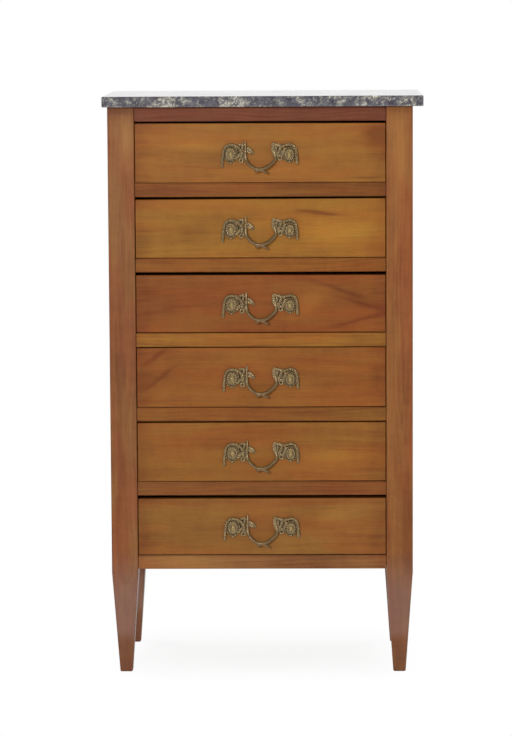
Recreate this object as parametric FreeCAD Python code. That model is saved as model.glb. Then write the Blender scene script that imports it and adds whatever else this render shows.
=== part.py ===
import FreeCAD, Part
import math
import os

from FreeCAD import Vector

# A tall chest of six drawers on tapered legs, with a loose stone slab on top.
# Millimetres. +Z is up and the front faces -Y. The origin is on the floor, on the middle line of
# the carcass and under the middle of the slab's depth.

# Carcass posts and legs
body_width = 628.0
body_depth = 350.0
post_size = 55.0
post_edge_radius = 2.0
foot_size = 26.0
foot_edge_radius = 1.5
foot_sole_ease = 2.0
leg_height = 221.0
leg_straight_length = 8.0

# Front rails
drawer_opening_height = 126.5
bottom_rail_height = 29.0
mid_rail_height = 29.0
top_rail_height = 30.0
rail_setback = 2.0
rail_edge_radius = 1.0
rail_end_gap = 0.8

# Side and back frames with their panels
frame_rail_height = 60.0
frame_rail_thickness = 26.0
panel_inset = 9.0
panel_thickness = 8.0
panel_edge = 8.0
groove_clearance = 0.3

# Mortise and tenon joints
tenon_length = 20.0
tenon_shoulder = 4.0
front_tenon_thickness = 14.0
frame_tenon_thickness = 8.0
tenon_clearance = 0.2

# Loose slab, lying a little to the right of the middle line
slab_thickness = 22.0
slab_side_overhang = 16.0
slab_front_overhang = 17.0
slab_back_overhang = 3.0
slab_shift_right = 5.5
slab_corner_radius = 4.0
slab_edge_radius = 2.4

# Runners with side guides, and stops behind the drawer fronts
runner_thickness = 18.0
runner_bearing = 18.0
guide_height = 26.0
stop_width = 36.0
stop_depth = 22.0
stop_height = 6.0
stop_inset = 80.0

# Gaps around the drawer fronts, the first drawer at the top. Worn drawers hang a little askew, so
# the gaps above and below a front differ at its left and right ends.
drawer_top_gaps = [(3.6, 4.8), (5.2, 3.8), (6.0, 6.4), (2.0, 1.2), (3.4, 2.2), (7.2, 6.2)]
drawer_bottom_gaps = [(0.5, 0.4), (0.9, 0.8), (1.4, 1.4), (0.5, 1.4), (0.4, 1.3), (1.1, 1.4)]
drawer_side_gap = 1.2

# Drawer boards
drawer_back_gap = 8.0
front_thickness = 20.0
front_edge_radius = 1.2
side_thickness = 12.0
back_thickness = 12.0
side_top_drop = 5.0
bottom_thickness = 6.5
bottom_raise = 11.0
bottom_groove_depth = 5.0
lap_length = 13.0
tail_count = 3
tail_root_share = 0.40
tail_tip_share = 0.62

# Cast pull: two medallions under knotted ribbons, joined by a stem that hangs out and down
pull_width = 165.0
pull_height = 71.0
pull_projection = 22.7
medallion_width = 30.0
medallion_height = 38.0
medallion_thickness = 4.5
boss_width = 13.0
boss_height = 20.0
boss_thickness = 8.5
boss_taper_share = 0.60
ribbon_width = 5.5
ribbon_thickness = 6.0
knot_thickness = 5.0
slot_width = 3.2
slot_height = 6.4
loop_radius = 5.8
loop_hole_radius = 2.0
stem_radius = 3.2
twig_radius = 2.0
tail_radius = 2.4
screw_spacing = 121.0
screw_radius = 2.0
screw_clearance = 0.2
screw_reach = 5.0
screw_head_radius = 4.0
screw_head_height = 2.6

# Places on the pull, across and up from its middle (shares of its width and height): the ribbon over
# each medallion and its hanging end, the knots beside them with their slots and loops, the curled end
# of one ribbon, the branches that carry the stem, and the ends of the stem where they cross
medallion_up_share = -0.042
left_ribbon_shares = [(-0.448, 0.205), (-0.366, 0.290), (-0.264, 0.203)]
right_ribbon_shares = [(0.448, 0.175), (0.366, 0.285), (0.279, 0.210)]
left_ribbon_end_shares = (-0.482, -0.400)
right_ribbon_end_shares = (0.474, -0.345)
left_knot_shares = [
    (-0.291, 0.190), (-0.236, 0.225), (-0.190, 0.150), (-0.185, -0.150), (-0.224, -0.225), (-0.291, -0.170),
]
right_knot_shares = [
    (0.152, 0.280), (0.218, 0.240), (0.291, 0.235), (0.303, -0.110), (0.242, -0.190), (0.188, -0.160),
    (0.145, 0.090),
]
curl_shares = [
    (-0.188, 0.190), (-0.127, 0.165), (-0.094, 0.085), (-0.076, -0.050), (-0.109, -0.020), (-0.136, -0.035),
    (-0.188, 0.010),
]
slot_shares = [(-0.267, 0.010), (0.226, 0.112), (0.272, 0.038)]
loop_shares = [(-0.236, -0.205), (0.252, -0.145)]
left_branch_shares = [(-0.182, 0.340), (-0.188, -0.183)]
right_branch_shares = [(0.164, 0.260), (0.188, -0.165)]
branch_low_share = -0.510
tail_start_shares = (-0.036, -0.480)
tail_middle_shares = (0.036, -0.556)
tail_end_shares = (0.092, -0.645)
tail_end_depth_share = 0.72

# Worked out from the sizes above
drawer_count = len(drawer_top_gaps)
half_width = body_width / 2
post_inner = half_width - post_size
slab_depth = body_depth + slab_front_overhang + slab_back_overhang
front_y = slab_front_overhang - slab_depth / 2
back_y = front_y + body_depth
drawer_pitch = drawer_opening_height + mid_rail_height
lowest_opening = leg_height + bottom_rail_height
highest_opening = lowest_opening + (drawer_count - 1) * drawer_pitch
carcass_top = highest_opening + drawer_opening_height + top_rail_height
rail_y = (front_y + rail_setback, front_y + post_size)
frame_y = (front_y + post_size, back_y - post_size)
frame_rail_outer = half_width - rail_setback
frame_rail_inner = frame_rail_outer - frame_rail_thickness
frame_shoulder = panel_edge + tenon_shoulder
upper_frame_z = (carcass_top - frame_rail_height, carcass_top)
lower_frame_z = (leg_height, leg_height + frame_rail_height)
panel_z = (lower_frame_z[1] - panel_edge, upper_frame_z[0] + panel_edge)
back_rail_y = (back_y - rail_setback - frame_rail_thickness, back_y - rail_setback)
drawer_half = post_inner - drawer_side_gap
drawer_inner = drawer_half - side_thickness
front_face_y = rail_y[0]
front_rear_y = front_face_y + front_thickness
drawer_rear_y = back_rail_y[0] - drawer_back_gap
back_front_y = drawer_rear_y - back_thickness


def block(x, y, z):
    """Solid box between the low and high limits of each axis."""
    return Part.makeBox(x[1] - x[0], y[1] - y[0], z[1] - z[0], Vector(x[0], y[0], z[0]))


def grown(limits, clearance):
    """Limits moved apart by a clearance at both ends."""
    return (limits[0] - clearance, limits[1] + clearance)


def room(box, clearance):
    """Space for a box with a clearance all round it."""
    return block(*[grown(limits, clearance) for limits in box])


def centred(limits, width):
    """Limits of the given width in the middle of wider ones."""
    middle = (limits[0] + limits[1]) / 2
    return (middle - width / 2, middle + width / 2)


def sided(side, inner, outer):
    """Limits along X on one side of the middle line, from two distances to it."""
    return tuple(sorted((side * inner, side * outer)))


def joined(first, others):
    """One solid out of pieces that run into each other."""
    return first.multiFuse(others).removeSplitter()


def rounded_at(shape, y, radius, along_x_only):
    """Round the edges that lie in the plane at one Y."""
    edges = []
    for edge in shape.Edges:
        ends = [vertex.Point for vertex in edge.Vertexes]
        in_plane = all(math.isclose(point.y, y) for point in ends)
        along_x = math.isclose(ends[0].z, ends[-1].z)
        if in_plane and (along_x or not along_x_only):
            edges.append(edge)
    return shape.makeFillet(radius, edges)


def opening_floor(number):
    """Height of the lower edge of a drawer's opening, counted from the top."""
    return lowest_opening + (drawer_count - number) * drawer_pitch


def front_rail_heights():
    """Node name and height limits of every front rail, from the top down."""
    rails = [("top_front_rail", (carcass_top - top_rail_height, carcass_top))]
    for number in range(1, drawer_count):
        floor = opening_floor(number)
        rails.append((f"drawer_rail_{number}", (floor - mid_rail_height, floor)))
    rails.append(("bottom_front_rail", (leg_height, lowest_opening)))
    return rails


def front_tenon(side, z):
    """Limits of a front rail's tenon on one side."""
    x = sided(side, post_inner - rail_end_gap, post_inner + tenon_length)
    return x, centred(rail_y, front_tenon_thickness), grown(z, -tenon_shoulder)


def side_tenon(side, end, z):
    """Limits of a side rail's tenon, at the front (0) or the back (1) end."""
    x = centred(sided(side, frame_rail_inner, frame_rail_outer), frame_tenon_thickness)
    face = frame_y[end]
    y = (face - tenon_length, face) if end == 0 else (face, face + tenon_length)
    return x, y, grown(z, -frame_shoulder)


def back_tenon(side, z):
    """Limits of a back rail's tenon on one side."""
    x = sided(side, post_inner, post_inner + tenon_length)
    return x, centred(back_rail_y, frame_tenon_thickness), grown(z, -frame_shoulder)


def side_panel_box(side):
    """Limits of a side panel, with its edges in the grooves of the frame."""
    x = sided(side, half_width - panel_inset - panel_thickness, half_width - panel_inset)
    return x, grown(frame_y, panel_edge), panel_z


def back_panel_box():
    """Limits of the back panel, with its edges in the grooves of the frame."""
    x = grown((-post_inner, post_inner), panel_edge)
    return x, (back_y - panel_inset - panel_thickness, back_y - panel_inset), panel_z


def rounded_square(x, y, size, radius, z):
    """Level square outline with round corners."""
    reach = size / 2 - radius
    corners = [(1, 1), (-1, 1), (-1, -1), (1, -1)]
    arcs = []
    for turn, (across, along) in enumerate(corners):
        points = []
        for half_step in range(3):
            angle = math.radians(90 * turn + 45 * half_step)
            points.append(Vector(
                x + across * reach + radius * math.cos(angle),
                y + along * reach + radius * math.sin(angle),
                z,
            ))
        arcs.append(points)
    edges = []
    for points, following in zip(arcs, arcs[1:] + arcs[:1]):
        edges.append(Part.Arc(*points).toShape())
        edges.append(Part.LineSegment(points[-1], following[0]).toShape())
    return Part.Wire(edges)


def post(side, end):
    """Square post that tapers to an eased foot, with its mortises and panel grooves."""
    x = side * (half_width - post_size / 2)
    y = (front_y + post_size / 2, back_y - post_size / 2)[end]
    outlines = [
        rounded_square(x, y, foot_size - 2 * foot_sole_ease, foot_edge_radius, 0),
        rounded_square(x, y, foot_size, foot_edge_radius, foot_sole_ease),
        rounded_square(x, y, post_size, post_edge_radius, leg_height - leg_straight_length),
        rounded_square(x, y, post_size, post_edge_radius, carcass_top),
    ]
    mortises = [side_tenon(side, end, z) for z in (lower_frame_z, upper_frame_z)]
    grooves = [side_panel_box(side)]
    if end == 0:
        mortises += [front_tenon(side, z) for name, z in front_rail_heights()]
    else:
        mortises += [back_tenon(side, z) for z in (lower_frame_z, upper_frame_z)]
        grooves.append(back_panel_box())
    cuts = [room(box, tenon_clearance) for box in mortises]
    cuts += [room(box, groove_clearance) for box in grooves]
    return Part.makeLoft(outlines, True, True).cut(cuts)


def front_rail(z):
    """Rail between the front posts, with a tenon at each end."""
    x = grown((-post_inner, post_inner), -rail_end_gap)
    rail = rounded_at(block(x, rail_y, z), rail_y[0], rail_edge_radius, True)
    return joined(rail, [block(*front_tenon(side, z)) for side in (-1, 1)])


def side_rail(side, z):
    """Rail between the posts of one side, grooved for the panel."""
    rail = block(sided(side, frame_rail_inner, frame_rail_outer), frame_y, z)
    rail = joined(rail, [block(*side_tenon(side, end, z)) for end in (0, 1)])
    return rail.cut(room(side_panel_box(side), groove_clearance))


def back_rail(z):
    """Rail between the back posts, grooved for the panel."""
    rail = block((-post_inner, post_inner), back_rail_y, z)
    rail = joined(rail, [block(*back_tenon(side, z)) for side in (-1, 1)])
    return rail.cut(room(back_panel_box(), groove_clearance))


def slab():
    """Stone slab with eased edges, lying on the posts and rails."""
    half = half_width + slab_side_overhang
    x = (slab_shift_right - half, slab_shift_right + half)
    y = (-slab_depth / 2, slab_depth / 2)
    stone = block(x, y, (carcass_top, carcass_top + slab_thickness))
    corners = [edge for edge in stone.Edges if not math.isclose(edge.Vertexes[0].Z, edge.Vertexes[1].Z)]
    stone = stone.makeFillet(slab_corner_radius, corners)
    rims = [edge for edge in stone.Edges if math.isclose(edge.Vertexes[0].Z, edge.Vertexes[-1].Z)]
    return stone.makeFillet(slab_edge_radius, rims)


def runner(side, floor):
    """Runner that a drawer side slides on, with the guide that keeps it straight."""
    bearing = sided(side, post_inner - runner_bearing, frame_rail_inner)
    guide = sided(side, post_inner, frame_rail_inner)
    lower = block(bearing, frame_y, (floor - runner_thickness, floor))
    return joined(lower, [block(guide, frame_y, (floor, floor + guide_height))])


def stop(side, floor):
    """Block on a rail that meets the back of a closed drawer front."""
    x = sided(side, post_inner - stop_inset - stop_width, post_inner - stop_inset)
    return block(x, (front_rear_y, front_rear_y + stop_depth), (floor, floor + stop_height))


def tails(side, z, root_y, tip_y):
    """Dovetails of a drawer side, spread over a height and widening to their tips."""
    pitch = (z[1] - z[0]) / tail_count
    start = side * drawer_inner
    depth = Vector(side * side_thickness, 0, 0)
    made = []
    for place in range(tail_count):
        middle = z[0] + pitch * (place + 0.5)
        outline = []
        for way in (1, -1):
            root = Vector(start, root_y, middle + way * pitch * tail_root_share / 2)
            tip = Vector(start, tip_y, middle + way * pitch * tail_tip_share / 2)
            outline += [root, tip] if way == 1 else [tip, root]
        made.append(Part.Face(Part.makePolygon(outline + outline[:1])).extrude(depth))
    return made


class Drawer:
    """One drawer: its height limits, and the solids that it is joined from."""

    def __init__(self, number):
        floor = opening_floor(number)
        ceiling = floor + drawer_opening_height
        self.front_low = [floor + gap for gap in drawer_bottom_gaps[number - 1]]
        self.front_high = [ceiling - gap for gap in drawer_top_gaps[number - 1]]
        self.side_z = (floor, min(self.front_high) - side_top_drop)
        low = floor + bottom_raise
        self.bottom_box = (
            (-drawer_inner - bottom_groove_depth, drawer_inner + bottom_groove_depth),
            (front_rear_y - bottom_groove_depth, drawer_rear_y),
            (low, low + bottom_thickness),
        )
        self.back_z = (low + bottom_thickness, self.side_z[1])
        self.middle_z = (sum(self.front_low) + sum(self.front_high)) / 4

    def front_tails(self, side):
        """Tails that lap into the drawer front."""
        return tails(side, self.side_z, front_rear_y, front_rear_y - lap_length)

    def back_tails(self, side):
        """Tails that run through the drawer back."""
        return tails(side, self.back_z, back_front_y, drawer_rear_y)

    def groove(self):
        """Space that the edges of the drawer bottom run in."""
        return room(self.bottom_box, groove_clearance)

    def front(self):
        """Front board with dovetail sockets, bottom groove and screw holes."""
        ends = (-drawer_half, drawer_half)
        outline = [Vector(x, front_face_y, z) for x, z in zip(ends, self.front_low)]
        outline += [Vector(x, front_face_y, z) for x, z in zip(ends[::-1], self.front_high[::-1])]
        face = Part.Face(Part.makePolygon(outline + outline[:1]))
        board = face.extrude(Vector(0, front_thickness, 0))
        board = rounded_at(board, front_face_y, front_edge_radius, False)
        holes = []
        for side in (-1, 1):
            start = Vector(side * screw_spacing / 2, front_face_y, self.middle_z)
            radius = screw_radius + screw_clearance
            holes.append(Part.makeCylinder(radius, front_thickness, start, Vector(0, 1, 0)))
        return board.cut(self.front_tails(-1) + self.front_tails(1) + holes + [self.groove()])

    def side(self, side):
        """Side board with its dovetails and the groove for the bottom."""
        x = sided(side, drawer_inner, drawer_half)
        board = block(x, (front_rear_y, back_front_y), self.side_z)
        foot = block(x, (back_front_y, drawer_rear_y), (self.side_z[0], self.back_z[0]))
        board = joined(board, [foot] + self.front_tails(side) + self.back_tails(side))
        return board.cut(self.groove())

    def back(self):
        """Back board, standing on the drawer bottom, with its dovetail sockets."""
        board = block((-drawer_half, drawer_half), (back_front_y, drawer_rear_y), self.back_z)
        return board.cut(self.back_tails(-1) + self.back_tails(1))

    def bottom(self):
        """Thin bottom board, held in the grooves of the front and the sides."""
        return block(*self.bottom_box)


def on_pull(shares, depth):
    """Place on the pull, seen from the front, at a depth in front of the drawer."""
    return Vector(shares[0] * pull_width, -depth, shares[1] * pull_height)


def oval(middle, width, height):
    """Upright oval outline that faces the front."""
    top = middle + Vector(0, 0, height / 2)
    side = middle + Vector(width / 2, 0, 0)
    return Part.Wire([Part.Ellipse(top, side, middle).toShape()])


def medallion(side):
    """Oval plate over a screw, with a raised boss in its middle."""
    middle = Vector(side * screw_spacing / 2, 0, medallion_up_share * pull_height)
    plate_face = middle - Vector(0, medallion_thickness, 0)
    boss_face = middle - Vector(0, boss_thickness, 0)
    rims = [oval(place, medallion_width, medallion_height) for place in (middle, plate_face)]
    crown = oval(boss_face, boss_width * boss_taper_share, boss_height * boss_taper_share)
    boss = [oval(middle, boss_width, boss_height), crown]
    return [Part.makeLoft(rims, True), Part.makeLoft(boss, True)]


def plate(points, thickness):
    """Flat plate on the drawer front, from the corners of its outline."""
    return Part.Face(Part.makePolygon(points + points[:1])).extrude(Vector(0, -thickness, 0))


def ribbon(arch_shares, end_shares):
    """Ribbon that arches over a medallion, with one end hanging beside it."""
    points = [on_pull(shares, ribbon_thickness / 2) for shares in arch_shares]
    path = Part.Wire([Part.Arc(*points).toShape()])
    way = path.Edges[0].tangentAt(path.Edges[0].FirstParameter)
    aside = Vector(way.z, 0, -way.x) * (ribbon_width / 2)
    out = Vector(0, ribbon_thickness / 2, 0)
    corners = [points[0] + corner for corner in (aside + out, aside - out, -aside - out, out - aside)]
    arch = path.makePipeShell([Part.makePolygon(corners + corners[:1])], True, True)
    top, low = on_pull(arch_shares[0], 0), on_pull(end_shares, 0)
    fall = (low - top).normalize()
    aside = Vector(fall.z, 0, -fall.x) * (ribbon_width / 2)
    return [arch, plate([top + aside, low + aside, low - aside, top - aside], ribbon_thickness)]


def twig(shares, first_radius, last_radius):
    """Tapered twig between two places on the pull."""
    first, last = [on_pull(place, boss_thickness / 2) for place in shares]
    run = last - first
    return Part.makeCone(first_radius, last_radius, run.Length, first, run)


def bent_stem(points, radius):
    """Round stem along the arc through three points."""
    path = Part.Wire([Part.Arc(*points).toShape()])
    edge = path.Edges[0]
    section = Part.Wire([Part.Circle(points[0], edge.tangentAt(edge.FirstParameter), radius).toShape()])
    return path.makePipeShell([section], True, True)


def stems():
    """The hanging stem and its two ends, which cross below the middle."""
    lowest_depth = pull_projection - stem_radius
    ends = [on_pull(shares[1], boss_thickness / 2) for shares in (left_branch_shares, right_branch_shares)]
    made = [bent_stem([ends[0], on_pull((0, branch_low_share), lowest_depth), ends[1]], stem_radius)]
    depths = (lowest_depth, lowest_depth, lowest_depth * tail_end_depth_share)
    for way in (-1, 1):
        points = []
        for shares, depth in zip((tail_start_shares, tail_middle_shares, tail_end_shares), depths):
            points.append(on_pull((way * shares[0], shares[1]), depth))
        made.append(bent_stem(points, tail_radius))
    return made


def pull():
    """Cast pull around the middle of a drawer front, with the front's face at Y zero."""
    outwards = Vector(0, -1, 0)
    pieces = medallion(-1) + medallion(1)
    pieces += ribbon(left_ribbon_shares, left_ribbon_end_shares)
    pieces += ribbon(right_ribbon_shares, right_ribbon_end_shares)
    for outline in (left_knot_shares, right_knot_shares, curl_shares):
        pieces.append(plate([on_pull(shares, 0) for shares in outline], knot_thickness))
    pieces += [twig(shares, twig_radius, stem_radius) for shares in (left_branch_shares, right_branch_shares)]
    pieces += stems()
    cuts = []
    for shares in slot_shares:
        middle = on_pull(shares, 0)
        x = (middle.x - slot_width / 2, middle.x + slot_width / 2)
        z = (middle.z - slot_height / 2, middle.z + slot_height / 2)
        cuts.append(block(x, (-pull_projection, 0), z))
    for shares in loop_shares:
        middle = on_pull(shares, 0)
        pieces.append(Part.makeCylinder(loop_radius, knot_thickness, middle, outwards))
        cuts.append(Part.makeCylinder(loop_hole_radius, pull_projection, middle, outwards))
    for side in (-1, 1):
        start = Vector(side * screw_spacing / 2, 0, 0)
        radius = screw_radius + screw_clearance
        cuts.append(Part.makeCylinder(radius, screw_reach + screw_clearance, start, outwards))
    return joined(pieces[0], pieces[1:]).cut(cuts)


def pull_screw(side):
    """Screw from inside the drawer front into the pull, with a round head."""
    x = side * screw_spacing / 2
    outwards = Vector(0, -1, 0)
    seat = Vector(x, front_thickness, 0)
    crown = Vector(x, front_thickness + screw_head_height, 0)
    shank = Part.makeCylinder(screw_radius, front_thickness + screw_reach, seat, outwards)
    head = Part.makeCylinder(screw_head_radius, screw_head_height, crown, outwards)
    return joined(head, [shank])


def write(node, shape):
    """Keep one piece, or a group of like pieces, under its node's name."""
    shape.exportStep(os.path.join("parts", node + ".step"))


def write_carcass():
    """Posts, rails, panels, runners and stops."""
    for side, side_name in ((-1, "left"), (1, "right")):
        for end, end_name in ((0, "front"), (1, "back")):
            write(f"{end_name}_{side_name}_post", post(side, end))
        write(f"{side_name}_side_panel", block(*side_panel_box(side)))
    for name, z in front_rail_heights():
        write(name, front_rail(z))
    write("back_panel", block(*back_panel_box()))
    frame_rails = [back_rail(z) for z in (lower_frame_z, upper_frame_z)]
    frame_rails += [side_rail(side, z) for side in (-1, 1) for z in (lower_frame_z, upper_frame_z)]
    write("carcass_rails", Part.makeCompound(frame_rails))
    floors = [opening_floor(number) for number in range(1, drawer_count + 1)]
    write("drawer_runners", Part.makeCompound([runner(side, z) for z in floors for side in (-1, 1)]))
    write("drawer_stops", Part.makeCompound([stop(side, z) for z in floors for side in (-1, 1)]))


def write_drawers():
    """The pieces of every drawer, from the top down."""
    casting = pull()
    screws = Part.makeCompound([pull_screw(side) for side in (-1, 1)])
    for number in range(1, drawer_count + 1):
        drawer = Drawer(number)
        place = Vector(0, front_face_y, drawer.middle_z)
        write(f"drawer_{number}_front", drawer.front())
        write(f"drawer_{number}_left_side", drawer.side(-1))
        write(f"drawer_{number}_right_side", drawer.side(1))
        write(f"drawer_{number}_back", drawer.back())
        write(f"drawer_{number}_bottom", drawer.bottom())
        write(f"drawer_{number}_pull", casting.translated(place))
        write(f"drawer_{number}_pull_screws", screws.translated(place))


os.makedirs("parts", exist_ok=True)
write("marble_top", slab())
write_carcass()
write_drawers()
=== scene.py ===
"""Looks of a tall chest of six drawers: varnished fruitwood, fossil marble and cast ribbon pulls."""
import logging
import math
from dataclasses import dataclass
from enum import Enum
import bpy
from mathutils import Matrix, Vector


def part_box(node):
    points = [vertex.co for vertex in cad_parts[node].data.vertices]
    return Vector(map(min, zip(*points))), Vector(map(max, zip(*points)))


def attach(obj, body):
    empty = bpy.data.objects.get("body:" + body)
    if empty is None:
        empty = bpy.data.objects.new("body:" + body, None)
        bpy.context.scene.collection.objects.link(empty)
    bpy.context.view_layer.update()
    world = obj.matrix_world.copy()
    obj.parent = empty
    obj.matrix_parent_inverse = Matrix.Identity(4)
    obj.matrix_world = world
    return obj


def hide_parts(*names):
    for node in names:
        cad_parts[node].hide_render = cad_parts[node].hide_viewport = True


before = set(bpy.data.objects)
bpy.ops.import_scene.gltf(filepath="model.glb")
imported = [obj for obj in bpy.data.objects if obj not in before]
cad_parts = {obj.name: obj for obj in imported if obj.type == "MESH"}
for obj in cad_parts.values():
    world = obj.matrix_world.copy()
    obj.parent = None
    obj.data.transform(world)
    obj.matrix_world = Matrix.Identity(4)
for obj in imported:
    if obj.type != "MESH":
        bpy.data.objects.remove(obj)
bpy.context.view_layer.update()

from types import MappingProxyType
from typing import Any, Callable, Mapping, Optional, Union

import bmesh
import bpy
from mathutils import Matrix, Vector

MM = 0.001
WELD = 1e-5
WHITE = (1.0, 1.0, 1.0, 1.0)
SMOOTH = {"interpolation_type": "SMOOTHSTEP"}
LOG = logging.getLogger("chest")

Number = Union["Field", float]
Spot = tuple["Field", "Field", "Field"]
Pair = tuple[float, float]
Place = tuple[float, float, float]
Station = tuple[float, float, float, float]
Profile = tuple[Pair, ...]
Colour = tuple[float, float, float]
Stops = list[tuple[float, Colour]]
Inputs = Mapping[Union[str, int], Any]
Box = tuple[Vector, Vector]
Shape = bmesh.types.BMesh
Material = bpy.types.Material
NONE: Inputs = MappingProxyType({})

ROSETTE: Profile = (
    (0.0, 6.8), (0.10, 6.7), (0.20, 6.3), (0.27, 5.7), (0.32, 5.0), (0.36, 4.6), (0.40, 4.6), (0.45, 5.0),
    (0.50, 5.3), (0.56, 5.4), (0.62, 5.1), (0.68, 4.6), (0.74, 3.9), (0.78, 3.2), (0.81, 3.2), (0.84, 3.9),
    (0.88, 4.5), (0.92, 4.6), (0.96, 4.1), (1.0, 2.8), (1.0, 0.0), (0.0, 0.0),
)
BACKPLATE: Profile = ((0.0, 1.5), (0.85, 1.5), (0.96, 1.2), (1.0, 0.6), (1.0, 0.0), (0.0, 0.0))


def screen(*steps: float) -> Colour:
    """Turn red, green and blue in screen steps of 0 to 255 into linear light."""
    shares = (step / 255 for step in steps)
    return tuple(x / 12.92 if x <= 0.04045 else ((x + 0.055) / 1.055) ** 2.4 for x in shares)


def tinted(colour: Colour, factors: Colour) -> Colour:
    """A linear colour multiplied channel by channel."""
    return tuple(channel * factor for channel, factor in zip(colour, factors))


def operator(operation: str, swapped: bool = False) -> Callable[..., "Field"]:
    """Make a method of Field that adds a Math node.

    Args:
        operation: The node's operation.
        swapped: Whether the field is the last value and not the first.

    Returns:
        The method.
    """
    def apply(field: "Field", *others: Number) -> "Field":
        """The node's result for the field and the other values."""
        values = (*others, field) if swapped else (field, *others)
        return field.recipe.math(operation, *values)

    return apply


class Field:
    """A value that changes over a surface: a socket whose arithmetic adds Math nodes."""

    __add__ = __radd__ = operator("ADD")
    __sub__ = operator("SUBTRACT")
    __rsub__ = operator("SUBTRACT", swapped=True)
    __mul__ = __rmul__ = operator("MULTIPLY")
    __truediv__ = operator("DIVIDE")
    __rtruediv__ = operator("DIVIDE", swapped=True)
    __pow__ = operator("POWER")
    __abs__ = operator("ABSOLUTE")
    least = operator("MINIMUM")
    fraction = operator("FRACT")

    def __init__(self, recipe: "Recipe", socket: bpy.types.NodeSocket) -> None:
        """Keep the socket and the recipe that it belongs to."""
        self.recipe = recipe
        self.socket = socket

    def rise(self, low: float, high: float) -> "Field":
        """Mask that climbs smoothly from 0 at one value to 1 at another."""
        inputs = {"Value": self, "From Min": low, "From Max": high}
        return self.recipe.result("ShaderNodeMapRange", "Result", inputs, SMOOTH)


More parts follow.
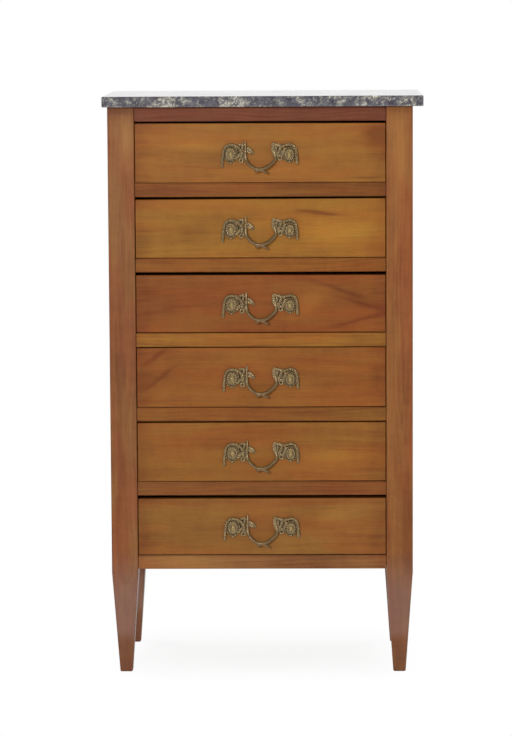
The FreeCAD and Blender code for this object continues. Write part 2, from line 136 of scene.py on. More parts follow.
class Recipe:
    """The node tree of one finish, or of the surroundings."""

    def __init__(self, owner: Union[Material, bpy.types.World]) -> None:
        """Start with an empty tree.

        Args:
            owner: The material or world that the tree belongs to.
        """
        self.owner = owner
        owner.use_nodes = True
        self.tree = owner.node_tree
        self.tree.nodes.clear()

    @classmethod
    def named(cls, name: str) -> "Recipe":
        """Start a new material of the given name."""
        return cls(bpy.data.materials.new(name))

    def node(self, kind: str, inputs: Inputs = NONE, settings: Inputs = NONE) -> bpy.types.Node:
        """Add a node.

        Args:
            kind: The node's type.
            inputs: Values or fields for its sockets, by name or number.
            settings: Its properties, set first. "stops" are the places and colours of a ramp.

        Returns:
            The new node.
        """
        made = self.tree.nodes.new(kind)
        for name, value in settings.items():
            if name == "stops":
                self._set_stops(made, value)
            else:
                setattr(made, name, value)
        for name, value in inputs.items():
            if isinstance(value, Field):
                self.tree.links.new(value.socket, made.inputs[name])
            else:
                made.inputs[name].default_value = value
        return made

    def result(
        self, kind: str, output: Union[str, int] = 0, inputs: Inputs = NONE, settings: Inputs = NONE,
    ) -> Field:
        """Add a node and give one of its results."""
        return Field(self, self.node(kind, inputs, settings).outputs[output])

    @staticmethod
    def _set_stops(ramp: bpy.types.Node, stops: Stops) -> None:
        """Write the stops of a colour ramp.

        Args:
            ramp: The ramp node.
            stops: Place and linear colour of each stop, in order.
        """
        elements = ramp.color_ramp.elements
        while len(elements) < len(stops):
            elements.new(1.0)
        for element, (position, colour) in zip(elements, stops):
            element.position = position
            element.color = (*colour, 1.0)

    def math(self, operation: str, *values: Number) -> Field:
        """Add a Math node with one value for each of its sockets, and give its result."""
        return self.result("ShaderNodeMath", 0, dict(enumerate(values)), {"operation": operation})

    def parts(self, vector: Field) -> dict[str, Field]:
        """The three values of a vector, by the axis's letter."""
        made = self.node("ShaderNodeSeparateXYZ", {"Vector": vector})
        return {letter: Field(self, made.outputs[letter]) for letter in "XYZ"}

    def place(self, space: str = "Object") -> Field:
        """The place on an object in metres, or a direction of the surroundings."""
        return self.result("ShaderNodeTexCoord", space)

    def axes(self, space: str = "Object") -> dict[str, Field]:
        """The place or direction by the axis's letter."""
        return self.parts(self.place(space))

    def geometry(self, name: str) -> Field:
        """A value of the surface itself, such as its normal."""
        return self.result("ShaderNodeNewGeometry", name)

    def vector(self, x: Number, y: Number, z: Number) -> Field:
        """Join three values into a vector."""
        return self.result("ShaderNodeCombineXYZ", 0, {0: x, 1: y, 2: z})

    def noise(self, place: Field, scale: float = 1.0, detail: float = 2.0, rough: float = 0.5) -> Field:
        """Cloudy noise from 0 to 1, by its clouds per unit, its finer layers and their strength."""
        inputs = {"Vector": place, "Scale": scale, "Detail": detail, "Roughness": rough}
        return self.result("ShaderNodeTexNoise", 0, inputs)

    def cells(self, place: Field, scale: float) -> tuple[Field, Field]:
        """Split space into random cells.

        Args:
            place: Where the cells are read.
            scale: Cells per unit of the place.

        Returns:
            Distance to the cell's middle, and a random number for the cell.
        """
        made = self.node("ShaderNodeTexVoronoi", {"Vector": place, "Scale": scale})
        number = self.result("ShaderNodeSeparateColor", 0, {"Color": Field(self, made.outputs["Color"])})
        return Field(self, made.outputs["Distance"]), number

    def ramp(self, value: Field, stops: Stops) -> Field:
        """Turn a value from 0 to 1 into a colour."""
        return self.result("ShaderNodeValToRGB", "Color", {"Fac": value}, {"stops": stops})

    def mix(self, share: Number, first: Union[Field, Colour], second: Union[Field, Colour]) -> Field:
        """Blend two colours by the share of the second."""
        low, high = (tone if isinstance(tone, Field) else (*tone, 1.0) for tone in (first, second))
        return self.result("ShaderNodeMix", 2, {0: share, 6: low, 7: high}, {"data_type": "RGBA"})

    def scaled(self, colour: Field, factor: Number) -> Field:
        """Make a colour lighter or darker by a factor."""
        return self.result("ShaderNodeVectorMath", 0, {0: colour, "Scale": factor}, {"operation": "SCALE"})

    def bump(self, height: Field, strength: float, distance: float) -> Field:
        """Normal of a small relief, by how much of it shows and its real height in metres."""
        inputs = {"Height": height, "Strength": strength, "Distance": distance}
        return self.result("ShaderNodeBump", "Normal", inputs)

    def rays(self) -> dict[str, Field]:
        """Which rays come from the camera, from gloss and from glass, by name."""
        path = self.node("ShaderNodeLightPath").outputs
        return {name: Field(self, path[f"Is {name} Ray"]) for name in ("Camera", "Glossy", "Transmission")}

    def layered(self, share: Number, first: Field, second: Field) -> Field:
        """Blend two shaders by the share of the second."""
        return self.result("ShaderNodeMixShader", 0, {0: share, 1: first, 2: second})

    def close(self, shader: Field) -> None:
        """End the tree with a shader."""
        kind = "World" if isinstance(self.owner, bpy.types.World) else "Material"
        self.node(f"ShaderNodeOutput{kind}", {"Surface": shader})

    def surface(self, inputs: Inputs) -> Material:
        """Close the tree with a surface shader and give the finished material."""
        self.close(self.result("ShaderNodeBsdfPrincipled", 0, inputs))
        return self.owner


class Grain(Enum):
    """Axes of a board: along its fibres, across its face, and into its depth."""

    FRONT = ("X", "Z", "Y")
    UPRIGHT = ("Z", "X", "Y")
    SIDE_UPRIGHT = ("Z", "Y", "X")
    SIDE = ("Y", "Z", "X")
    LEVEL = ("X", "Y", "Z")
    FRAME = ("XY", "Z", "YX")


@dataclass(frozen=True)
class Streak:
    """A knot, flame or golden patch on the face of a board, or a band of painted shade, in metres."""

    along: float
    across: float
    length: float
    height: float
    slope: float = 0.0
    depth: float = 0.4

    def mask(self, along: Field, across: Field) -> Field:
        """Where the streak shows.

        Args:
            along: Place along the fibres.
            across: Place across the face.

        Returns:
            A mask that is 1 at the streak's middle.
        """
        far = (along - self.along) / self.length
        wide = (across - self.across - (along - self.along) * self.slope) / self.height
        return 1 / (1 + (far * far + wide * wide)) ** 2.0


@dataclass(frozen=True)
class Weave:
    """Noise that is stretched over a board: its pitch along, across and into it per metre, and its layers."""

    pitch: Place
    detail: float = 2.0
    rough: float = 0.5

    def noise(self, recipe: Recipe, spot: Spot, seed: float) -> Field:
        """The noise from 0 to 1 at a spot of the board, shifted along it by a seed."""
        along, across, deep = (place * pitch for place, pitch in zip(spot, self.pitch))
        return recipe.noise(recipe.vector(along + seed, across, deep), 1.0, self.detail, self.rough)


DRIFT = Weave((2.4, 7.0, 5.0))
BANDS = Weave((3.4, 60.0, 18.0), 3.0, 0.55)
LINES = Weave((10.0, 320.0, 60.0), 3.0, 0.6)
FIBRES = Weave((30.0, 1100.0, 300.0), 1.0)
CLOUDS = Weave((6.0, 15.0, 8.0), 3.0)
RIPPLE = Weave((46.0, 24.0, 8.0), 3.0, 0.6)
HUES = Weave((5.0, 26.0, 9.0))
FLECKS = Weave((110.0, 2100.0, 900.0), 1.0)
PITS = Weave((60.0, 90.0, 80.0))


@dataclass(frozen=True)
class VarnishedWood:
    """Old varnished fruitwood: slow bands, soft mottle, fine streaks, redder ends and satin gloss."""

    name: str
    grain: Grain
    tone: Colour
    seed: float
    figure: float = 1.0
    mottle: float = 1.0
    ring_pitch: float = 0.0085
    ring_share: float = 0.05
    heart: Pair = (0.02, 0.10)
    lean: float = 0.05
    dive: float = 0.0
    end_reach: float = 0.05
    end_wave: float = 0.8
    end_shade: float = 0.22
    streaks: tuple[Streak, ...] = ()
    foot_height: float = 0.0
    roughness: float = 0.40
    gloss: float = 0.13
    coat: float = 0.05
    coat_roughness: float = 0.16
    frame_split: float = 0.284
    sway: float = 0.030
    ring_sway: float = 6.0
    ring_climb: Pair = (0.25, 0.88)
    band_share: float = 0.42
    line_share: float = 0.44
    cloud_share: float = 0.62
    ripple_share: float = 0.32
    hue_reach: Pair = (0.36, 0.64)
    cut_reach: Pair = (0.6, 0.9)
    pore_reach: Pair = (0.60, 0.72)
    pore_shade: float = 0.24
    dent_reach: Pair = (0.71, 0.78)
    dent_shade: float = 0.14
    rim_width: float = 0.003
    rim_shade: float = 0.26
    foot_edge: Pair = (-0.012, 0.016)
    foot_wave: float = 0.02
    foot_shade: float = 0.22
    relief: float = 0.14
    relief_height: float = 0.0005
    # Painted sheen low on the legs: a grey haze that stands in for the white floor's reflection.
    painted_sheen_share: float = 0.0
    painted_floor_sheen: Colour = screen(126, 114, 116)
    painted_sheen_reach: Pair = (0.150, 0.270)
    deep_factors: Colour = (0.64, 0.52, 0.52)
    light_factors: Colour = (1.26, 1.40, 1.32)
    red_factors: Colour = (1.04, 0.92, 0.90)
    golden_factors: Colour = (0.99, 1.06, 1.03)

    def _board(self, axes: dict[str, Field]) -> Spot:
        """Values along, across and into the board.

        Args:
            axes: Values along X, Y and Z.

        Returns:
            The three values in the board's own order.
        """
        if self.grain is Grain.FRAME:
            side = abs(axes["X"]).rise(self.frame_split - MM, self.frame_split + MM)
            along = axes["X"] + side * (axes["Y"] - axes["X"])
            deep = axes["Y"] + side * (axes["X"] - axes["Y"])
            return along, axes["Z"], deep
        along, across, deep = self.grain.value
        return axes[along], axes[across], axes[deep]

    def _rings(self, recipe: Recipe, spot: Spot, drift: Field) -> Field:
        """Dark late wood of the growth rings.

        Args:
            recipe: The finish's tree.
            spot: Place along, across and into the board.
            drift: Slow waviness of the trunk.

        Returns:
            A mask that is 1 on the dark lines.
        """
        along, across, deep = spot
        aside = across - self.heart[0] - along * self.lean
        behind = deep - self.heart[1] - along * self.dive
        radius = recipe.math("SQRT", aside * aside + behind * behind)
        phase = (radius / self.ring_pitch + drift * self.ring_sway).fraction()
        return phase.rise(*self.ring_climb) * (1 - phase.rise(self.ring_climb[1], 1.0))

    def material(self, box: Box) -> Material:
        """Mix the finish for one board.

        Args:
            box: The board's lowest and highest corner.

        Returns:
            The finished material.
        """
        recipe = Recipe.named(self.name)
        straight = self._board(recipe.axes())
        along, across, deep = straight
        drift = DRIFT.noise(recipe, straight, self.seed) - 0.5
        flow = along, across + drift * self.sway, deep
        bands, lines, fibres, clouds, flecks = (
            weave.noise(recipe, flow, self.seed) for weave in (BANDS, LINES, FIBRES, CLOUDS, FLECKS)
        )
        ripple, pits = (weave.noise(recipe, straight, self.seed) for weave in (RIPPLE, PITS))
        rings = self._rings(recipe, straight, drift)
        figure = (bands - 0.5) * self.band_share + (lines - 0.5) * self.line_share - rings * self.ring_share
        mottle = (clouds - 0.5) * self.cloud_share + (ripple - 0.5) * self.ripple_share
        warmth = 0.5 + figure * self.figure + mottle * self.mottle
        for streak in self.streaks:
            warmth = warmth - streak.mask(along, across) * (lines * 1.4 + 0.3) * streak.depth
        end_wave = (clouds - 0.5) * (self.end_reach * self.end_wave)
        warmth = warmth - self._border(0, straight, box, end_wave, self.end_reach) * self.end_shade
        red, golden = (
            recipe.ramp(warmth, self._shades(tinted(self.tone, factors)))
            for factors in (self.red_factors, self.golden_factors)
        )
        colour = recipe.mix(HUES.noise(recipe, flow, -self.seed).rise(*self.hue_reach), red, golden)
        cut = abs(self._board(recipe.parts(recipe.geometry("Normal")))[0]).rise(*self.cut_reach)
        pores = flecks.rise(*self.pore_reach)
        dents = pits.rise(*self.dent_reach)
        shade = (0.92 + fibres * 0.20) * (1 - pores * self.pore_shade) * (1 - dents * self.dent_shade)
        rim_wave = (lines - 0.5) * self.rim_width
        shade = shade * (1 - self._border(1, straight, box, rim_wave, self.rim_width) * self.rim_shade)
        shade = shade * (1 - cut * (0.16 + rings * 0.30))
        if self.foot_height:
            edge = recipe.axes()["Z"] + (clouds - 0.5) * self.foot_wave
            legs = edge.rise(*(self.foot_height + reach for reach in self.foot_edge))
            shade = shade * (1 - (1 - legs) * self.foot_shade)
            # Painted sheen: the white floor's reflection on the lower legs, thinner on the feet.
            painted_sheen_mask = (0.3 + legs * 0.7) * (1 - edge.rise(*self.painted_sheen_reach)) * self.painted_sheen_share
            colour = recipe.mix(painted_sheen_mask, colour, self.painted_floor_sheen)
        height = fibres * 0.35 + rings * 0.2 + lines * 0.3 - dents * 0.9 - pores * 0.4
        return recipe.surface({
            "Base Color": recipe.scaled(colour, shade),
            "Roughness": self.roughness + (clouds - 0.5) * 0.22 + (fibres - 0.5) * 0.10 + cut * 0.2,
            "Specular IOR Level": self.gloss,
            "Coat Weight": self.coat,
            "Coat Roughness": self.coat_roughness,
            "Normal": recipe.bump(height, self.relief, self.relief_height),
        })

    def _shades(self, tone: Colour) -> Stops:
        """Stops of a ramp from the dark to the light figure of one tone."""
        deep, light = (tinted(tone, factors) for factors in (self.deep_factors, self.light_factors))
        return [(0.08, deep), (0.50, tone), (0.92, light)]

    def _border(self, way: int, spot: Spot, box: Box, wave: Field, reach: float) -> Field:
        """Both borders of the board, one way.

        Args:
            way: 0 for its ends, 1 for its long edges.
            spot: Place along, across and into the board.
            box: The board's lowest and highest corner.
            wave: What makes the border uneven, in metres.
            reach: How far in the border goes.

        Returns:
            A mask that is 1 at both borders.
        """
        letter = self.grain.value[way][0].lower()
        first, last = (getattr(corner, letter) for corner in box)
        inwards = (spot[way] - first).least(last - spot[way]) + wave
        return 1 - inwards.rise(0.0, reach)


@dataclass(frozen=True)
class BareWood(VarnishedWood):
    """Plain wood inside the chest: paler and dry."""

    figure: float = 1.3
    ring_pitch: float = 0.005
    end_shade: float = 0.12
    roughness: float = 0.72
    gloss: float = 0.2


@dataclass(frozen=True)
class FossilMarble:
    """Dark violet-grey marble, broken up by pale shell fragments and thin calcite veins."""

    name: str = "fossil_marble"
    dark: Colour = screen(66, 62, 71)
    middle: Colour = screen(98, 95, 103)
    light: Colour = screen(152, 150, 138)
    shell: Colour = screen(210, 206, 190)
    cream: Colour = screen(236, 228, 204)
    bend: float = 0.016
    bend_up: float = 0.012
    relief: float = 0.04
    relief_height: float = 0.0004

    def material(self) -> Material:
        """Mix the finish.

        Returns:
            The finished material.
        """
        recipe = Recipe.named(self.name)
        place = recipe.place()
        axes = recipe.parts(place)
        wander = recipe.noise(place, 120.0, 4.0, 0.65) - 0.5
        aside = wander * self.bend
        bent = recipe.vector(axes["X"] + aside, axes["Y"] - aside, axes["Z"] + wander * self.bend_up)
        zones = recipe.noise(place, 15.0, 2.0) - 0.5
        clouds = recipe.noise(bent, 60.0, 5.0, 0.68)
        colour = recipe.ramp(clouds, [(0.36, self.dark), (0.56, self.middle), (0.78, self.light)])
        rubble = recipe.noise(bent, 105.0, 4.0, 0.72)
        broken = (rubble + zones * 0.60).rise(0.49, 0.58)
        colour = recipe.mix(broken * (0.25 + clouds * 0.8), colour, self.light)
        grit = recipe.noise(bent, 230.0, 4.0, 0.7)
        shells = (grit + zones * 0.55 + (rubble - 0.5) * 0.6).rise(0.57, 0.66)
        colour = recipe.mix(shells * 0.8, colour, self.shell)
        specks = recipe.noise(place, 340.0, 2.0, 0.6).rise(0.62, 0.70)
        colour = recipe.mix(specks * 0.55, colour, self.dark)
        vein = 1 - abs(recipe.noise(bent, 13.0, 5.0, 0.62) - 0.5).rise(0.001, 0.006)
        colour = recipe.mix(vein * 0.40, colour, self.light)
        distance, number = recipe.cells(bent, 34.0)
        blotch = (1 - (distance + wander * 0.5).rise(0.10, 0.20)) * number.rise(0.88, 0.90)
        colour = recipe.mix(blotch * (0.5 + rubble * 0.8), colour, self.cream)
        smudge = recipe.noise(place, 16.0, 2.0)
        return recipe.surface({
            "Base Color": colour,
            "Roughness": 0.07 + smudge * 0.10 + vein * 0.06,
            "Specular IOR Level": 0.5,
            "Coat Weight": 0.35,
            "Coat Roughness": 0.06,
            "Normal": recipe.bump(clouds - vein * 0.4, self.relief, self.relief_height),
        })


@dataclass(frozen=True)
class AgedBrass:
    """Cast brass: dark hollows, olive flats, rubbed ridges with a painted highlight, golden bosses with a
    painted highlight, and a browner free stem.
    """

    name: str
    face: float
    middle: float
    # Painted highlight on convex ridges, on top of their real rubbed wear.
    ridge_highlight: Colour = screen(200, 182, 138)
    worn: Colour = screen(154, 129, 87)
    patina: Colour = screen(48, 35, 22)
    brown: Colour = screen(118, 92, 60)
    # Painted highlight on the bosses, partly rubbed brass.
    highlight_gold: Colour = screen(172, 148, 92)
    boss_across: float = 0.060
    boss_up: float = -0.002
    boss_half: Pair = (0.0036, 0.0070)
    boss_fade: Pair = (0.6, 1.5)
    front_reach: Pair = (0.0012, 0.0052)
    stem_reach: Pair = (0.008, 0.014)
    rubbed_reach: Pair = (0.465, 0.545)
    ridge_reach: Pair = (0.53, 0.62)
    relief: float = 0.15
    relief_height: float = 0.0003

    def material(self) -> Material:
        """Mix the finish.

        Returns:
            The finished material.
        """
        recipe = Recipe.named(self.name)
        place = recipe.place()
        axes = recipe.parts(place)
        pointed = recipe.geometry("Pointiness")
        out = self.face - axes["Y"]
        clouds = recipe.noise(place, 190.0, 3.0, 0.6)
        rubbed = (pointed + (clouds - 0.5) * 0.06).rise(*self.rubbed_reach)
        bare = (rubbed * 0.80 + out.rise(*self.front_reach) * 0.24).least(1.0)
        colour = recipe.mix(bare, self.patina, self.worn)
        # Painted highlight: a golden patch in the middle of each medallion's boss, partly rubbed brass.
        across = (abs(axes["X"]) - self.boss_across) / self.boss_half[0]
        up = (axes["Z"] - self.middle - self.boss_up) / self.boss_half[1]
        boss_highlight_mask = 1 - (across * across + up * up).rise(*self.boss_fade)
        colour = recipe.mix(boss_highlight_mask * 0.6, colour, self.highlight_gold)
        colour = recipe.mix(out.rise(*self.stem_reach) * 0.8, colour, self.brown)
        # Painted highlight: convex ridges lightened towards pale gold, partly real rubbed wear.
        colour = recipe.mix(pointed.rise(*self.ridge_reach) * 0.75, colour, self.ridge_highlight)
        return recipe.surface({
            "Base Color": colour,
            "Metallic": 0.30 + rubbed * 0.35,
            "Roughness": 0.46 - rubbed * 0.14 + (clouds - 0.5) * 0.2,
            "Normal": recipe.bump(recipe.noise(place, 900.0), self.relief, self.relief_height),
        })


@dataclass(frozen=True)
class DullSteel:
    """Screw steel, dulled and freckled with rust."""

    name: str = "dull_steel"
    metal: Colour = screen(150, 148, 144)
    rust: Colour = screen(112, 74, 48)
    relief: float = 0.10
    relief_height: float = 0.0002

    def material(self) -> Material:
        """Mix the finish.

        Returns:
            The finished material.
        """
        recipe = Recipe.named(self.name)
        place = recipe.place()
        freckles = recipe.noise(place, 420.0, 3.0, 0.6).rise(0.54, 0.66)
        return recipe.surface({
            "Base Color": recipe.mix(freckles * 0.7, self.metal, self.rust),
            "Metallic": 1 - freckles * 0.6,
            "Roughness": 0.38 + freckles * 0.35,
            "Normal": recipe.bump(recipe.noise(place, 1500.0), self.relief, self.relief_height),
        })


@dataclass(frozen=True)
class PaleFloor:
    """Seamless pale floor that shows white, with a faint shadow under the object."""

    name: str = "pale_floor"
    tone: Colour = (0.86, 0.86, 0.86)
    shadow_share: float = 0.15
    shadow_middle: float = 0.03
    shadow_across: Pair = (0.18, 0.36)
    shadow_deep: Pair = (0.04, 0.32)

    def material(self) -> Material:
        """Mix the finish.

        Returns:
            The finished material.
        """
        recipe = Recipe.named(self.name)
        axes = recipe.axes()
        across = 1 - abs(axes["X"]).rise(*self.shadow_across)
        deep = 1 - abs(axes["Y"] - self.shadow_middle).rise(*self.shadow_deep)
        shadow = across * deep * self.shadow_share
        rays = recipe.rays()
        seen = (rays["Camera"] + rays["Glossy"] + rays["Transmission"]).least(1.0)
        plain = recipe.result("ShaderNodeBsdfDiffuse", 0, {"Color": (*self.tone, 1.0)})
        glow = recipe.result("ShaderNodeEmission", 0, {"Color": WHITE, "Strength": 1.0})
        recipe.close(recipe.layered(seen * (1 - shadow), plain, glow))
        return recipe.owner


def dress(node: str, material: Material) -> None:
    """Give a carried-over piece its finish.

    Args:
        node: The piece's name.
        material: Its finish.
    """
    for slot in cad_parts[node].material_slots:
        slot.material = material
    LOG.info("dressed %s with %s", node, material.name)


def dress_board(node: str, finish: VarnishedWood) -> None:
    """Give one board a wood finish that is mixed for its own size."""
    low, high = (Vector(corner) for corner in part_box(node))
    dress(node, finish.material((low, high)))


def shown(name: str, data: bpy.types.ID) -> bpy.types.Object:
    """Put a new object into the scene.

    Args:
        name: The object's name.
        data: Its mesh, light or camera.

    Returns:
        The object.
    """
    made = bpy.data.objects.new(name, data)
    bpy.context.scene.collection.objects.link(made)
    return made


def meshed(name: str, shape: Shape) -> bpy.types.Mesh:
    """Turn a shape into a mesh.

    Args:
        name: The mesh's name.
        shape: The shape, which is used up.

    Returns:
        The mesh.
    """
    made = bpy.data.meshes.new(name)
    shape.to_mesh(made)
    shape.free()
    return made


def spun(mesh: Shape, outline: list[Any], turns: int) -> None:
    """Spin an outline once around the Z axis and weld it.

    Args:
        mesh: The mesh that holds the outline.
        outline: Its points and edges.
        turns: Number of steps.
    """
    bmesh.ops.spin(
        mesh, geom=outline, cent=(0, 0, 0), axis=(0, 0, 1), angle=math.tau, steps=turns, use_merge=True,
    )
    bmesh.ops.remove_doubles(mesh, verts=mesh.verts, dist=WELD)


@dataclass(frozen=True)
class Medallion:
    """An oval boss in a ring of petals and a beaded rim, in millimetres.

    The profile runs from the middle to the rim and under the plate: a share of the way out, and a height.
    """

    across: float
    up: float
    half_width: float = 15.6
    half_height: float = 19.0
    profile: Profile = ROSETTE
    petals: int = 14
    petal_depth: float = 1.5
    beads: int = 22
    bead_height: float = 0.75
    scallop: float = 0.03
    petal_ring: Pair = (0.42, 0.77)
    petal_floor: float = 3.0
    rim_ring: float = 0.8
    rim_floor: float = 2.0
    turns: int = 176

    def build(self) -> Shape:
        """Spin the profile, cut the petals, raise the beads, and stretch it all to an oval.

        Returns:
            The medallion's mesh, with Z out of the drawer front.
        """
        mesh = bmesh.new()
        verts = [mesh.verts.new((share, 0.0, height)) for share, height in self.profile]
        edges = [mesh.edges.new(pair) for pair in zip(verts, verts[1:])]
        spun(mesh, verts + edges, self.turns)
        inner, outer = self.petal_ring
        for vert in mesh.verts:
            share = math.hypot(vert.co.x, vert.co.y)
            heading = math.atan2(vert.co.y, vert.co.x)
            if vert.co.z > self.petal_floor and inner < share < outer:
                vert.co.z -= self.petal_depth * (1 - abs(math.sin(self.petals * heading / 2))) ** 2
            elif share > self.rim_ring:
                bead = math.cos(self.beads * heading)
                vert.co.z += self.bead_height * bead if vert.co.z > self.rim_floor else 0.0
                vert.co.xy *= 1 + self.scallop * bead
        bmesh.ops.scale(mesh, vec=(self.half_width, self.half_height, 1.0), verts=mesh.verts)
        bmesh.ops.translate(mesh, vec=(self.across, self.up, 0.0), verts=mesh.verts)
        bmesh.ops.recalc_face_normals(mesh, faces=mesh.faces)
        return mesh


class Twine(Enum):
    """Kinds of strand: leaves in pairs, a hollowed ribbon, and a round stem that hangs free."""

    GARLAND = "garland"
    RIBBON = "ribbon"
    STEM = "stem"


@dataclass(frozen=True)
class Strand:
    """A strand through points of across, up, out and half width, in millimetres.

    Garlands and ribbons are solid down to the drawer front.
    """

    points: tuple[Station, ...]
    kind: Twine = Twine.RIBBON
    flat: float = 0.85
    groove: float = 0.45
    crease: float = 0.10
    crease_pitch: float = 1.3
    crease_slant: float = 2.0
    leaf: float = 5.6
    leaf_lift: float = 0.62
    leaf_level: float = 0.45
    leaf_curl: float = 1.5
    leaf_sweep: float = 0.60
    leaf_spread: float = 0.25
    rib: float = 0.22
    rib_width: float = 0.2
    flutes: int = 5
    flute_depth: float = 0.05
    flute_twist: float = 0.25
    steps: int = 14
    sides: int = 24

    def stations(self) -> list[Vector]:
        """Even stations on a smooth line through the points.

        Returns:
            Vectors of across, up, out and half width.
        """
        points = [Vector(point) for point in self.points]
        line = [points[0] * 2 - points[1]] + points + [points[-1] * 2 - points[-2]]
        made = []
        for before, first, second, after in zip(line, line[1:], line[2:], line[3:]):
            for step in range(self.steps):
                share = step / self.steps
                slope_in, slope_out = (second - before) / 2, (after - first) / 2
                square, cube = share ** 2, share ** 3
                made.append(
                    first * (2 * cube - 3 * square + 1) + slope_in * (cube - 2 * square + share)
                    + second * (3 * square - 2 * cube) + slope_out * (cube - square)
                )
        return made + [points[-1]]

    def build(self) -> Shape:
        """Set a ring at every station and bridge them.

        Returns:
            The strand's mesh, with Z out of the drawer front.
        """
        mesh = bmesh.new()
        stations = self.stations()
        last = len(stations) - 1
        walked = 0.0
        before: list[bmesh.types.BMEdge] = []
        for number, station in enumerate(stations):
            behind = stations[max(number - 1, 0)].xyz
            ahead = (stations[min(number + 1, last)].xyz - behind).normalized()
            walked += (station.xyz - behind).length
            ring = bmesh.ops.create_circle(
                mesh, cap_ends=number in (0, last), segments=self.sides, radius=1.0,
            )["verts"]
            self._place(ring, station, ahead, walked)
            edges = list({edge for vert in ring for edge in vert.link_edges})
            if before:
                bmesh.ops.bridge_loops(mesh, edges=before + edges)
            before = edges
        bmesh.ops.recalc_face_normals(mesh, faces=mesh.faces)
        return mesh

    def _place(self, ring: list[bmesh.types.BMVert], station: Vector, ahead: Vector, walked: float) -> None:
        """Shape one ring and stand it across the strand.

        Args:
            ring: Points on a unit circle.
            station: Across, up, out and half width of the ring's middle.
            ahead: The strand's heading there.
            walked: Length of the strand up to there.
        """
        aside = ahead.cross(Vector((0.0, 0.0, 1.0))).normalized()
        out = aside.cross(ahead)
        for vert in ring:
            wide, high = self._section(vert.co.x, vert.co.y, walked)
            lower = vert.co.y < 0
            vert.co = station.xyz + aside * (wide * station.w) + out * (high * station.w)
            if lower and self.kind is not Twine.STEM:
                vert.co.z = 0.0

    def _section(self, wide: float, high: float, walked: float) -> tuple[float, float]:
        """Shape of the strand's cross-section.

        Args:
            wide: Place on a unit circle, to the side.
            high: Place on a unit circle, outwards.
            walked: Length of the strand up to there.

        Returns:
            The same point of the shaped section, as shares of the half width.
        """
        if self.kind is Twine.STEM:
            turn = self.flutes * math.atan2(high, wide) + walked * self.flute_twist
            swell = 1 + self.flute_depth * math.cos(turn)
            return wide * swell, high * swell
        if self.kind is Twine.RIBBON:
            crease = self.crease * math.cos(walked * self.crease_pitch + wide * self.crease_slant)
            return wide, high * self.flat - (self.groove * (1 - wide * wide) - crease if high > 0 else 0.0)
        tip = (walked / self.leaf + self.leaf_sweep * abs(wide)) % 1.0
        lift = 1 + self.leaf_lift * (tip ** self.leaf_curl - self.leaf_level)
        rib = self.rib * math.exp(-(wide / self.rib_width) ** 2) if high > 0 else 0.0
        return wide * (1 - self.leaf_spread + self.leaf_spread * lift), high * lift - rib


@dataclass(frozen=True)
class Eyelet:
    """A round loop that lies on the drawer front, in millimetres."""

    across: float
    up: float
    out: float = 2.4
    radius: float = 3.8
    wire: float = 2.1
    sides: int = 14
    turns: int = 32

    def build(self) -> Shape:
        """Spin a circle into a ring.

        Returns:
            The loop's mesh, with Z out of the drawer front.
        """
        mesh = bmesh.new()
        stand = Matrix.Translation(Vector((self.radius, 0.0, 0.0))) @ Matrix.Rotation(math.pi / 2, 4, "X")
        ring = bmesh.ops.create_circle(mesh, segments=self.sides, radius=self.wire, matrix=stand)["verts"]
        spun(mesh, ring + list(mesh.edges), self.turns)
        bmesh.ops.translate(mesh, vec=(self.across, self.up, self.out), verts=mesh.verts)
        bmesh.ops.recalc_face_normals(mesh, faces=mesh.faces)
        return mesh


@dataclass(frozen=True)
class Bud:
    """A round or oval bud: across, up and out, its radius, and its stretch upwards, in millimetres."""

    place: Place
    radius: float
    stretch: float = 1.0
    fineness: int = 3

    def build(self) -> Shape:
        """Make the bud.

        Returns:
            Its mesh, with Z out of the drawer front.
        """
        mesh = bmesh.new()
        stand = Matrix.Translation(Vector(self.place)) @ Matrix.Diagonal((1.0, self.stretch, 1.0, 1.0))
        bmesh.ops.create_icosphere(mesh, subdivisions=self.fineness, radius=self.radius, matrix=stand)
        return mesh


